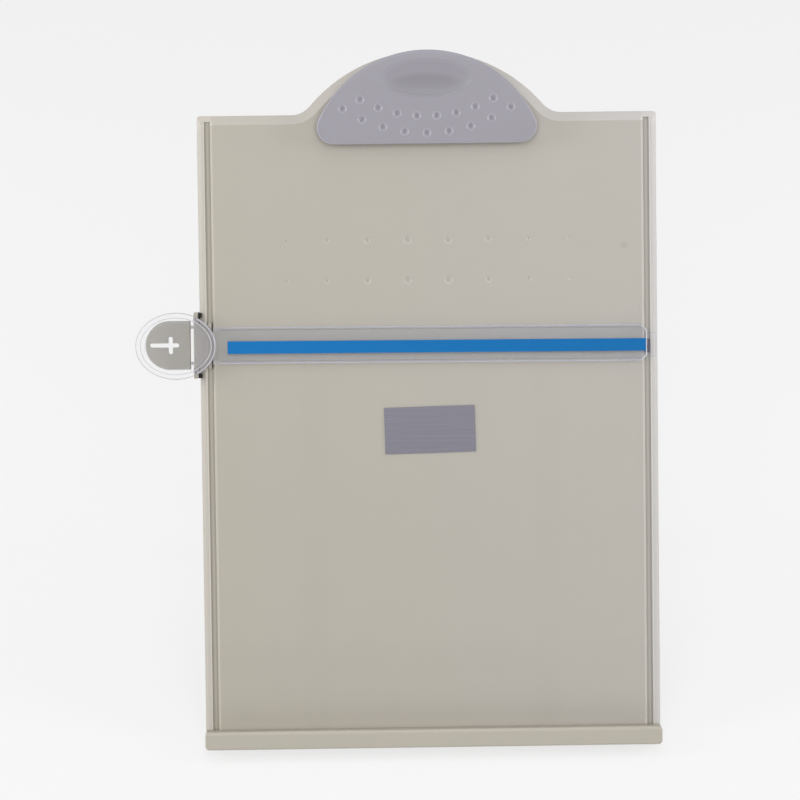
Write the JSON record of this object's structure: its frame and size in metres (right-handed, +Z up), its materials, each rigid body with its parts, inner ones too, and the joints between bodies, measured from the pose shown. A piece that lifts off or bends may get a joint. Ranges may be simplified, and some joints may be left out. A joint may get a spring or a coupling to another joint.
{
  "type": "copy holder with line guide",
  "caption": "Easel-style copy holder with a sprung page clip, a bottom ledge, a fold-out rear leg and a sliding transparent line guide",
  "frame": {"origin": "middle of the bounding box on the desk, with the holder standing on its two ledge feet and its opened leg", "axes": "+X to the reader's right along the ledge, +Y to the back, away from the reader, +Z up"},
  "size_m": [0.2598, 0.191, 0.3076],
  "materials": {
    "beige_plastic": "moulded ABS, fine satin grain",
    "mauve_plastic": "moulded ABS, satin",
    "clear_plastic": "polished clear acrylic",
    "blue_ink": "hot-stamped translucent blue line",
    "plate_metal": "brushed, bare",
    "zinc_steel": "zinc plated",
    "spring_steel": "drawn spring wire",
    "black_rubber": "moulded rubber, dull",
    "black_plastic": "moulded acetal, satin"
  },
  "bodies": {
    "board": {"front_panel": "beige_plastic", "document_ledge": "beige_plastic", "ledge_screws": "zinc_steel", "name_plate": "plate_metal", "left_foot": "black_rubber", "right_foot": "black_rubber", "clip_bracket": "zinc_steel", "clip_rivets": "zinc_steel", "clip_pin": "zinc_steel", "clip_spring": "spring_steel", "stand_rod": "zinc_steel"},
    "clip": {"paper_clip": "mauve_plastic", "clip_jaw_pad": "black_rubber"},
    "leg": {"stand_leg": "beige_plastic", "stand_foot": "black_rubber"},
    "carriage": {"guide_carriage": "beige_plastic", "brake_pad": "black_rubber", "thumb_plate": "beige_plastic", "thumb_plate_pins": "zinc_steel", "guide_hinge_pin": "zinc_steel", "guide_springs": "spring_steel"},
    "guide": {"line_guide": "clear_plastic", "reading_line": "blue_ink", "end_glide": "black_plastic"}
  },
  "joints": [
    {"name": "guide_slide", "type": "slide", "parent": "board", "child": "carriage", "axis": [0, 0.5, 0.866], "range_m": [-0.172, 0.086]},
    {"name": "guide_lift", "type": "hinge", "parent": "carriage", "child": "guide", "pos_m": [-0.1, 0.01574, 0.17567], "axis": [-0.0047, -0.5, -0.866], "range_deg": [0, 10], "stiffness_Nm_per_rad": 0.05, "springref_deg": -11.46, "deforming": ["guide_springs"]},
    {"name": "clip_open", "type": "hinge", "parent": "board", "child": "clip", "pos_m": [0.01595, 0.07207, 0.28263], "axis": [-1, 0, 0], "range_deg": [0, 14], "stiffness_Nm_per_rad": 0.3, "springref_deg": -22.92, "deforming": ["clip_spring"]},
    {"name": "stand_fold", "type": "hinge", "parent": "board", "child": "leg", "pos_m": [0.01595, 0.04924, 0.22191], "axis": [-1, 0, 0], "range_deg": [0, 35]}
  ]
}
